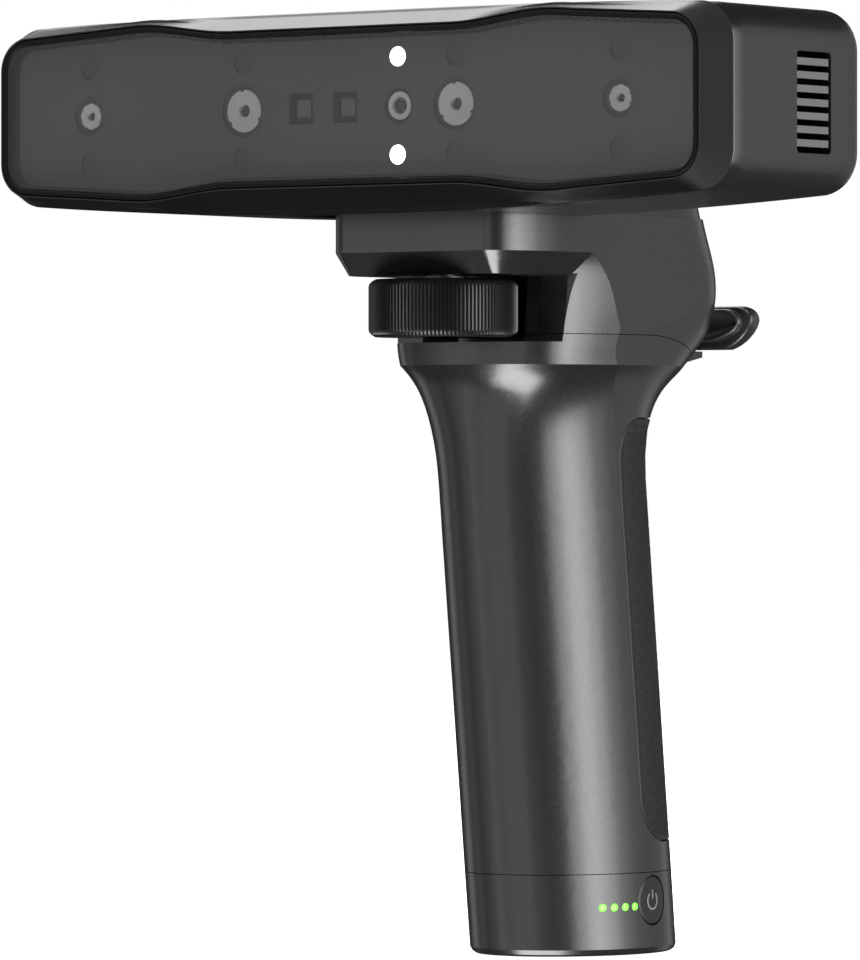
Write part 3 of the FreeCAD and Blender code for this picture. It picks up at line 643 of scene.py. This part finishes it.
def cutterRod(centre, axis, radius, along):
    index = "xyz".index(axis)
    ends = []
    for value in along:
        spot = list(centre)
        spot[index] = value
        ends.append(ringAround(spot, axis, radius, 48))
    mesh = loftRings(ends)
    bmesh.ops.recalc_face_normals(mesh, faces=mesh.faces)
    return cutter(mesh)


vent = {"front": -48.1, "rear": -36.7, "low": 155.6, "high": 174.9, "corner": 0.8}
# openings of the housing: dock under the head, screw hole, scan button and socket
pockets = {
    "dock": ((-25, head["front"] + 9.5, 140), (25, -10, 146.55)),
    "screw": ((0, -42.5, 0), "z", 4.85, (140, 152)),
    "key": ((0, 0, head["sight"]), "y", 6.8, (-32, -18)),
    "socket": ((-64.6, -30, 155.4), (-55.4, -20, 158.8)),
}


def makeHousing():
    rear, rounding = head["rear"], head["rearRound"]
    rings = [headRing(head["rim"] + 0.12, 0.10), headRing(head["rim"] + 0.30, 0.02)]
    spans = 10
    for step in range(1, spans + 1):
        rings.append(headRing(head["rim"] + 0.3 + (rear - rounding - head["rim"] - 0.3) * step / spans, 0.0))
    for step in range(1, 9):
        angle = math.radians(90 * step / 8)
        rings.append(headRing(rear - rounding + rounding * math.sin(angle), rounding * (1 - math.cos(angle))))
    inner = [
        headRing(rear - head["wall"], head["wall"] + 2.6),
        headRing(rear - head["wall"] - 2.6, head["wall"]),
        headRing(head["rim"] + 0.12, head["wall"]),
    ]
    outside = loftRings(rings, False, True)
    loftRings(inner, True, False, outside)
    outside.verts.ensure_lookup_table()
    verts, count = outside.verts, len(rings[0])
    tail = len(verts) - count
    for i in range(count):
        j = (i + 1) % count
        outside.faces.new((verts[i], verts[j], verts[tail + j], verts[tail + i]))
    obj = finishMesh(outside, "headHousing", "satinShell", "scanner", ("head_housing",), "satin_shell",
                     sharp=35)
    cutters = []
    for end in (head["halfLength"], -head["halfLength"]):
        low, high = (end - 4, vent["front"], vent["low"]), (end + 4, vent["rear"], vent["high"])
        cutters.append(cutterBox(low, high, vent["corner"]))
    cutters.append(cutterBox(*pockets["dock"]))
    cutters.append(cutterRod(*pockets["screw"]))
    cutters.append(cutterRod(*pockets["key"]))
    cutters.append(cutterBox(*pockets["socket"]))
    cutWith(obj, cutters)


bars = {"thick": 1.35, "pitch": 2.57, "count": 7, "deep": 1.2, "back": 0.25}


def makeVentGrilles():
    # seven flat bars set back from the wall, and behind them a near-black sheet without gloss that is painted
    # shade inside the vent
    middle = (vent["low"] + vent["high"]) / 2
    for side, end in ((1, "Right"), (-1, "Left")):
        mesh = bmesh.new()
        outer = side * (head["halfLength"] - bars["back"])
        inner = outer - side * bars["deep"]
        for number in range(bars["count"]):
            z = middle + (number - 3) * bars["pitch"]
            low = (inner, vent["front"] + 0.1, z - bars["thick"] / 2)
            addBlock(mesh, low, (outer, vent["rear"] - 0.55, z + bars["thick"] / 2))
        node = f"vent_grille_{end.lower()}"
        finishMesh(mesh, f"ventBars{end}", "ventGrey", "scanner", (node,), "satin_shell", sharp=30)
        # painted shade: a near-black, glossless sheet stands in for the shade inside the housing behind the
        # bars
        dark = bmesh.new()
        back = side * (head["halfLength"] - 2.6)
        low = (back - side * 0.4, vent["front"] - 1.5, vent["low"] - 1.5)
        addBlock(dark, low, (back, vent["rear"] + 1.5, vent["high"] + 1.5))
        finishMesh(dark, f"ventShadeSheet{end}", "ventShadeBlack", "scanner", (), "optics_black", sharp=30)


finish["ventGrey"] = mouldedPlastic("ventGrey", (0.055, 0.056, 0.058), 0.45)
# near-black finish with no gloss for the sheet behind the vent bars: painted shade
finish["ventShadeBlack"] = mouldedPlastic("ventShadeBlack", (0.0008, 0.0008, 0.0008), 1.0, specular=0.0)
makeBezel()
makeWindow()
makeGasket()
makeHousing()
makeVentGrilles()
print("sensor head shells made")


# optics behind the window
opticsFace = head["front"] + 3.0
cameras = {
    "far_left": {"x": -64.2, "disc": 2.55, "notches": 8, "pupil": 0.75},
    "near_left": {"x": -25.7, "disc": 4.15, "notches": 3, "pupil": 1.1},
    "near_right": {"x": 25.7, "disc": 4.15, "notches": 3, "pupil": 1.1},
    "far_right": {"x": 64.2, "disc": 2.55, "notches": 8, "pupil": 0.75},
}


def notched(count, depth, share, phase):
    # rim of a retaining ring with square notches for a key
    def radius(angle):
        turn = ((angle + phase) * count / (2 * math.pi)) % 1.0
        return 1.0 - depth if turn < share else 1.0

    return radius


def makeCameras():
    sight = head["sight"]
    for name, facts in cameras.items():
        face = opticsFace + 0.25
        rim = notched(facts["notches"], 0.09, 0.16 if facts["notches"] > 4 else 0.09, 0.5)
        rings = [
            ringAround((facts["x"], face + 1.6, sight), "y", facts["disc"], 144, rim),
            ringAround((facts["x"], face + 0.1, sight), "y", facts["disc"], 144, rim),
            ringAround((facts["x"], face, sight), "y", facts["disc"] - 0.12, 144, rim),
            ringAround((facts["x"], face + 0.12, sight), "y", facts["pupil"] + 0.25, 144),
            ringAround((facts["x"], face + 0.9, sight), "y", facts["pupil"], 144),
        ]
        finishMesh(loftRings(rings, True, False), f"lensRing_{name}", "ringGrey", "scanner", (), "lens_glass",
                   sharp=40)
        dome = [
            (facts["pupil"] * math.cos(math.radians(10 * step)),
             0.9 - 0.5 * facts["pupil"] * math.sin(math.radians(10 * step)))
            for step in range(9)
        ]
        dome.append((0.02, 0.9 - 0.5 * facts["pupil"]))
        turned(f"lensDome_{name}", (facts["x"], face, sight), "y", [(facts["pupil"], 1.3)] + dome,
               "lensGlass", "scanner", 48, replaces=(f"camera_lens_{name}",), slot="lens_glass")
    centre = (12.3, opticsFace + 0.2, sight)
    turned("colourRing", centre, "y",
           [(2.7, 1.6), (2.7, 0.1), (2.6, 0.0), (1.75, 0.05), (1.65, 0.5), (1.5, 0.5)],
           "ringGrey", "scanner", 64, slot="lens_glass")
    turns = [math.radians(10 * step) for step in range(9)]
    dome = [(1.5 * math.cos(turn), 0.55 - 0.6 * math.sin(turn)) for turn in turns]
    turned("colourLens", centre, "y", [(1.5, 1.4)] + dome + [(0.02, -0.05)], "lensGlass", "scanner", 48,
           replaces=("camera_lens_colour",), slot="lens_glass")


def makeProjectors():
    # each module has a dark square frame and a paler patterned window set into it
    for name, x in (("left", -11.4), ("right", -0.7)):
        mesh = bmesh.new()
        face = opticsFace + 0.6
        rings = []
        for half, depth in ((2.85, 9.0), (2.85, 0.2), (2.7, 0.0), (1.95, 0.0), (1.8, 0.5)):
            corners = ((-half, -half), (half, -half), (half, half), (-half, half))
            rings.append([point(x + a, face + depth, head["sight"] + b) for a, b in corners])
        loftRings(rings, True, False, mesh)
        finishMesh(mesh, f"projectorFrame_{name}", "moduleBlack", "scanner", (f"pattern_projector_{name}",),
                   "optics_black", sharp=20)
        pane = bmesh.new()
        lines = 7
        for row in range(lines):
            for col in range(lines):
                cell = 3.5 / lines
                lowX, lowZ = x - 1.75 + col * cell, head["sight"] - 1.75 + row * cell
                lift = 0.03 if (row + col) % 2 else 0.0
                addBlock(pane, (lowX, face + 0.45 - lift, lowZ), (lowX + cell, face + 0.9, lowZ + cell))
        finishMesh(pane, f"projectorPane_{name}", "paneGrey", "scanner", (), "optics_black", sharp=20)


def makeLamps():
    for name, side in (("upper", 1), ("lower", -1)):
        spot = (12.0, opticsFace, head["sight"] + side * 9.4)
        turns = [math.radians(15 * step) for step in range(6)]
        dome = [(1.85 * math.cos(turn), -0.3 * math.sin(turn)) for turn in turns]
        turned(f"whiteLamp_{name}", spot, "y", [(1.85, 2.6)] + dome + [(0.02, -0.3)], "whiteLamp",
               "scanner", 40, replaces=(f"white_led_{name}",), slot="white_lamp")


finish["paneGrey"] = mouldedPlastic("paneGrey", (0.085, 0.082, 0.086), 0.5)
makeCameras()
makeProjectors()
makeLamps()
print("optics made")


# clamp wheel
wheel = {
    "centre": (0.0, -42.5), "radius": 14.6, "low": 121.9, "high": 133.2, "bevel": 1.2,
    "knurls": 112, "cut": 0.45, "stepsPerKnurl": 6,
}


def makeWheel():
    steps = wheel["knurls"] * wheel["stepsPerKnurl"]

    def knurl(depth):
        def radius(angle):
            wave = (angle * wheel["knurls"] / (2 * math.pi)) % 1.0
            tooth = abs(wave - 0.5) * 2.0
            return 1.0 - depth / wheel["radius"] * min(1.0, tooth * 1.5)
        return radius

    r, low, high, bevel = wheel["radius"], wheel["low"], wheel["high"], wheel["bevel"]
    rows = [
        (3.4, low + 0.9, 0), (3.6, low + 0.7, 0), (9.2, low + 0.7, 0), (9.6, low, 0),
        (r - bevel - 0.1, low, 0), (r - bevel, low + 0.08, 0),
        (r - 0.62, low + 0.42, wheel["cut"] * 0.6), (r - 0.12, low + 0.95, wheel["cut"]),
        (r, low + 1.5, wheel["cut"]), (r, high - 1.5, wheel["cut"]), (r - 0.12, high - 1.0, wheel["cut"]),
        (r - 0.55, high - 0.5, wheel["cut"] * 0.5), (r - bevel, high - 0.1, 0),
        (r - bevel - 0.2, high, 0), (3.4, high, 0),
    ]
    rings = [
        ringAround((*wheel["centre"], z), "z", radius, steps, knurl(cut) if cut else None)
        for radius, z, cut in rows
    ]
    finishMesh(loftRings(rings), "knurledWheel", "wheelBlack", "wheel", ("clamp_wheel",), "optics_black",
               sharp=28)


makeWheel()
print("clamp wheel made")


# surface of the handle
grip = {"lean": 0.112, "start": 0.9, "wide": 18.7, "deep": 23.8, "round": 0.5523, "flareStarts": 84.0}
# height, half width, crease, flank, front, rear, front squareness, rear squareness
flare = [
    (94.0, 18.7, -9.63, 0.0, -33.43, 14.17, 0.552, 0.552),
    (99.0, 18.85, -10.6, 0.15, -34.1, 14.05, 0.556, 0.556),
    (104.0, 19.3, -12.0, 0.5, -34.9, 14.4, 0.575, 0.58),
    (108.5, 20.2, -13.7, 1.1, -35.6, 15.3, 0.61, 0.625),
    (112.5, 21.5, -15.3, 1.8, -36.4, 17.0, 0.67, 0.70),
    (116.6, 23.6, -16.9, 2.6, -38.1, 19.8, 0.78, 0.79),
]


def gripMiddle(z):
    return grip["start"] - grip["lean"] * z


def handleFacts(z):
    # the seven values of a section at any height up to the collar
    if z <= flare[0][0]:
        middle = gripMiddle(z)
        deep, squareness = grip["deep"], grip["round"]
        return (grip["wide"], middle, 0.0, middle - deep, middle + deep, squareness, squareness)
    for low, high in zip(flare, flare[1:]):
        if z <= high[0]:
            share = (z - low[0]) / (high[0] - low[0])
            return tuple(a + (b - a) * share for a, b in zip(low[1:], high[1:]))
    return flare[-1][1:]


def rearPoint(z, part, side):
    # part runs from 0 at the widest place to 1 at the middle of the rear
    wide, middle, flank, front, rear, frontSquare, rearSquare = handleFacts(z)
    poles = [
        (wide, middle), (wide, middle + rearSquare * (rear - middle)), (rearSquare * wide, rear), (0.0, rear)
    ]
    a, b = 1 - part, part
    weights = (a ** 3, 3 * a * a * b, 3 * a * b * b, b ** 3)
    x = sum(w * p[0] for w, p in zip(weights, poles))
    y = sum(w * p[1] for w, p in zip(weights, poles))
    return Vector((side * x, y, z))


def partAt(z, y):
    low, high = 0.0, 1.0
    for step in range(24):
        middle = (low + high) / 2
        if rearPoint(z, middle, 1).y < y:
            low = middle
        else:
            high = middle
    return low


def sideX(y, z):
    # how far out the straight part of the grip stands at one place on its side
    share = (y - gripMiddle(z)) / grip["deep"]
    return grip["wide"] * math.sqrt(max(0.0, 1 - share * share))


# rubber pad of the grip
pad = {"low": 22.0, "high": 106.4, "corner": 9.0, "thick": 0.85, "rows": 330, "columns": 300,
       "pitch": 1.05, "sway": 0.42, "swayPitch": 1.9, "relief": 0.17, "border": 1.0, "seam": 0.45}


def padEdge(z):
    # how far behind the middle plane the pad starts at a height
    reach = max(pad["low"] + pad["corner"] - z, z - (pad["high"] - pad["corner"]), 0.0)
    reach = min(reach, pad["corner"])
    return pad["corner"] - math.sqrt(pad["corner"] ** 2 - reach ** 2)


def makeGripPad():
    rows, columns = pad["rows"], pad["columns"]
    mesh = bmesh.new()
    outer, inner = [], []
    for row in range(rows + 1):
        share = row / rows
        z = pad["low"] + 0.1 + (pad["high"] - pad["low"] - 0.2) * share
        first = partAt(z, gripMiddle(z) + padEdge(z) + 0.1)
        line = []
        for column in range(columns + 1):
            across = 2.0 * column / columns - 1.0
            side = 1 if across > 0 else -1
            line.append(rearPoint(z, 1 - (1 - first) * abs(across), side))
        outerRow, innerRow = [], []
        away = 0.0
        lengths = [0.0]
        for a, b in zip(line, line[1:]):
            away += (b - a).length
            lengths.append(away)
        for column, spot in enumerate(line):
            before, after = line[max(column - 1, 0)], line[min(column + 1, columns)]
            along = (after - before).normalized()
            normal = Vector((along.y, -along.x, 0.0)) * -1
            if normal.y < 0 and abs(spot.x) < 15:
                normal = -normal
            if abs(spot.x) >= 15 and normal.x * spot.x < 0:
                normal = -normal
            inside = min(lengths[column], away - lengths[column], z - pad["low"], pad["high"] - z)
            sunk = 0.5 * (1 - smoothStep(0.0, pad["seam"], inside))
            sway = pad["sway"] * abs(((z / pad["swayPitch"]) % 1.0) * 4 - 2)
            wave = ((lengths[column] - away / 2 + sway) / pad["pitch"]) % 1.0
            ridge = smoothStep(0.15, 0.5, 1 - abs(wave * 2 - 1))
            lift = -pad["relief"] * ridge * smoothStep(pad["border"], pad["border"] + 0.5, inside)
            outerRow.append(mesh.verts.new((spot + normal * (lift - sunk)) * mm))
            innerRow.append(mesh.verts.new((spot - normal * pad["thick"]) * mm))
        outer.append(outerRow)
        inner.append(innerRow)
    for row in range(rows):
        for column in range(columns):
            right, up = column + 1, row + 1
            mesh.faces.new((outer[row][column], outer[row][right], outer[up][right], outer[up][column]))
            mesh.faces.new((inner[row][column], inner[up][column], inner[up][right], inner[row][right]))
    rim = [(0, c) for c in range(columns + 1)] + [(r, columns) for r in range(1, rows + 1)]
    rim += [(rows, c) for c in range(columns - 1, -1, -1)] + [(r, 0) for r in range(rows - 1, 0, -1)]
    for one, two in zip(rim, rim[1:] + rim[:1]):
        mesh.faces.new((
            outer[one[0]][one[1]], inner[one[0]][one[1]], inner[two[0]][two[1]], outer[two[0]][two[1]]
        ))
    finishMesh(mesh, "gripPad", "padRubber", "scanner", ("grip_pad",), "black_rubber", sharp=70)


# power button and battery lamps
button = {"y": gripMiddle(10.6) + 2.4, "z": 10.6, "radius": 4.8, "back": 13.7, "symbol": 1.75, "line": 0.2}


def onSide(y, z, lift):
    return point(sideX(y, z) + lift, y, z)


def sideDisc(y, z, radius, steps, lift):
    # a ring that lies on the side of the grip
    turns = [2 * math.pi * s / steps for s in range(steps)]
    return [onSide(y + radius * math.cos(a), z + radius * math.sin(a), lift) for a in turns]


def makeButton():
    mesh = bmesh.new()
    profile = [
        (0.02, -0.12), (1.2, -0.12), (2.6, -0.10), (3.7, -0.05), (4.3, -0.03), (4.6, -0.08), (4.76, -0.2),
        (button["radius"], -0.45),
    ]
    rings = [ringAround((button["back"], button["y"], button["z"]), "x", button["radius"], 72)]
    rings += [sideDisc(button["y"], button["z"], radius, 72, lift) for radius, lift in reversed(profile)]
    loftRings(rings, True, True, mesh)
    finishMesh(mesh, "powerCap", "buttonSatin", "power_key", ("power_button",), "satin_shell", sharp=40)


def makeSymbol():
    # plain on-off sign: an open ring and a short bar, let into the cap
    mesh = bmesh.new()

    def stroke(path):
        rings = []
        for number, (a, b) in enumerate(path):
            before, after = path[max(number - 1, 0)], path[min(number + 1, len(path) - 1)]
            along = Vector((after[0] - before[0], after[1] - before[1])).normalized()
            across = Vector((-along.y, along.x)) * button["line"]
            spot = Vector((a, b))
            ring = []
            for side, lift in ((1, -0.3), (1, -0.085), (0.8, -0.06), (-0.8, -0.06), (-1, -0.085), (-1, -0.3)):
                place = spot + across * side
                ring.append(onSide(button["y"] + place.x, button["z"] + place.y, lift))
            rings.append(ring)
        loftRings(rings, True, True, mesh)

    radius = button["symbol"]
    arc = [math.radians(90 + 42 + (360 - 84) * step / 40) for step in range(41)]
    stroke([(radius * math.cos(a), radius * math.sin(a)) for a in arc])
    stroke([(0, radius * (0.18 + 1.0 * step / 6)) for step in range(7)])
    finishMesh(mesh, "powerSign", "signGrey", "power_key", (), "satin_shell", sharp=40)


lamps = {"z": 9.6, "spots": (-11.6, -9.0, -6.3, -3.7), "radius": 0.78, "back": 13.0, "steps": 32}


def makeBatteryLamps():
    mesh = bmesh.new()
    for spot in lamps["spots"]:
        y = gripMiddle(lamps["z"]) + spot
        rings = [ringAround((lamps["back"], y, lamps["z"]), "x", lamps["radius"], lamps["steps"])]
        for step in range(9):
            angle = math.radians(10 * step)
            radius, lift = lamps["radius"] * math.cos(angle), 0.02 + 0.16 * math.sin(angle)
            rings.append(sideDisc(y, lamps["z"], radius, lamps["steps"], lift))
        loftRings(rings, True, True, mesh)
    finishMesh(mesh, "batteryLamps", "greenLamp", "scanner", ("battery_leds",), "green_lamp", sharp=40)


# cam lever
lever = {
    "x": -10.0, "y": 29.6, "low": 120.2, "high": 128.9,
    "reach": 34.4, "thick": 3.4, "hub": 3.35, "edge": 0.55,
}


def leverOutline(inset, endInset, low, start, depth):
    # level top, round upper corner, slanted lower corner; an even order of points
    right = lever["x"] + lever["reach"] - endInset
    top = lever["high"] - inset
    base = low + inset
    found = [(start + (right - 3.4 - start) * step / 20, top) for step in range(21)]
    corners = [(right - 3.4, top), (right - 0.9, top - 0.35), (right - 0.12, top - 1.5), (right, top - 2.7)]
    under = [(right, top - 2.7), (right - 0.35, top - 4.7), (right - 2.6, base + 1.2), (right - 6.4, base)]
    for chain in (corners, under):
        for step in range(1, 13):
            a = step / 12
            weights = ((1 - a) ** 3, 3 * a * (1 - a) ** 2, 3 * a * a * (1 - a), a ** 3)
            found.append(tuple(sum(w * p[axis] for w, p in zip(weights, chain)) for axis in (0, 1)))
    found += [(right - 6.4 + (start - right + 6.4) * step / 20, base) for step in range(1, 21)]
    return [point(x, depth, z) for x, z in found]


def makeLever():
    front, back = lever["y"] - lever["thick"] / 2, lever["y"] + lever["thick"] / 2
    edge, start, rings = lever["edge"], lever["x"] + 0.6, []
    for step in range(5):
        angle = math.radians(90 * step / 4)
        inset = edge * (1 - math.sin(angle))
        rings.append(leverOutline(inset, inset, lever["low"], start, front + edge * (1 - math.cos(angle))))
    for step in range(5):
        angle = math.radians(90 * step / 4)
        inset = edge * (1 - math.cos(angle))
        rings.append(leverOutline(inset, inset, lever["low"], start, back - edge * (1 - math.sin(angle))))
    mesh = loftRings(rings)
    low, high = lever["low"], lever["high"]
    profile = [(1.6, low), (lever["hub"] - 0.4, low), (lever["hub"], low + 0.4), (lever["hub"], high - 0.4),
               (lever["hub"] - 0.4, high), (1.6, high)]
    hub = [ringAround((lever["x"], lever["y"], z), "z", radius, 48) for radius, z in profile]
    loftRings(hub + [hub[0]], False, False, mesh)
    finishMesh(mesh, "leverBlade", "leverSatin", "lever", ("cam_lever",), "satin_shell", sharp=38)
    print("lever blade made")


def makeLeverPad():
    # soft pad with a shallow scoop for the thumb
    front = lever["y"] - lever["thick"] / 2
    outline = leverOutline(0.55, 1.9, lever["low"] + 1.0, lever["x"] + 7.4, front + 0.05)
    count = len(outline)
    middle = Vector((lever["x"] + 22.0, 0, lever["low"] + 5.0)) * mm
    mesh = bmesh.new()
    rings = [outline]
    scoopHigh, scoopDeep = 2.9, 0.95
    for inset, lift in ((0.0, 1.45), (0.12, 1.7), (0.32, 1.85)):
        rings.append([shrink(p, middle, inset, front - lift) for p in outline])
    for step in range(1, 13):
        inset = 0.32 + step * 0.3
        ring = []
        for p in outline:
            spot = shrink(p, middle, inset, front)
            above = abs(spot.z / mm - middle.z / mm)
            dip = scoopDeep * max(0.0, 1 - (above / scoopHigh) ** 2) * smoothStep(0.3, 1.6, inset)
            spot.y = (front - 1.85 + dip) * mm
            ring.append(spot)
        rings.append(ring)
    loftRings(rings, True, True, mesh)
    finishMesh(mesh, "leverPad", "padSatin", "lever", ("lever_pad",), "black_rubber", sharp=50)


def shrink(spot, middle, inset, depth):
    # moves an outline point towards the long middle line of the pad
    z = spot.z / mm - middle.z / mm
    x = spot.x / mm - middle.x / mm
    z = math.copysign(max(abs(z) - inset, 0.02 * abs(z)), z)
    x = math.copysign(max(abs(x) - inset, 0.3 * abs(x)), x)
    return point(x + middle.x / mm, depth, z + middle.z / mm)


finish["padRubber"] = mouldedPlastic("padRubber", (0.003, 0.003, 0.0034), 0.5, specular=0.25)
finish["buttonSatin"] = mouldedPlastic("buttonSatin", (0.004, 0.004, 0.0045), 0.4, specular=0.3)
finish["signGrey"] = mouldedPlastic("signGrey", (0.10, 0.10, 0.105), 0.5)
finish["leverSatin"] = mouldedPlastic("leverSatin", (0.012, 0.0122, 0.013), 0.28)
finish["padSatin"] = mouldedPlastic("padSatin", (0.012, 0.012, 0.013), 0.36)
makeGripPad()
makeButton()
makeSymbol()
makeBatteryLamps()
makeLever()
makeLeverPad()
print("grip pad, button, lamps and lever made")
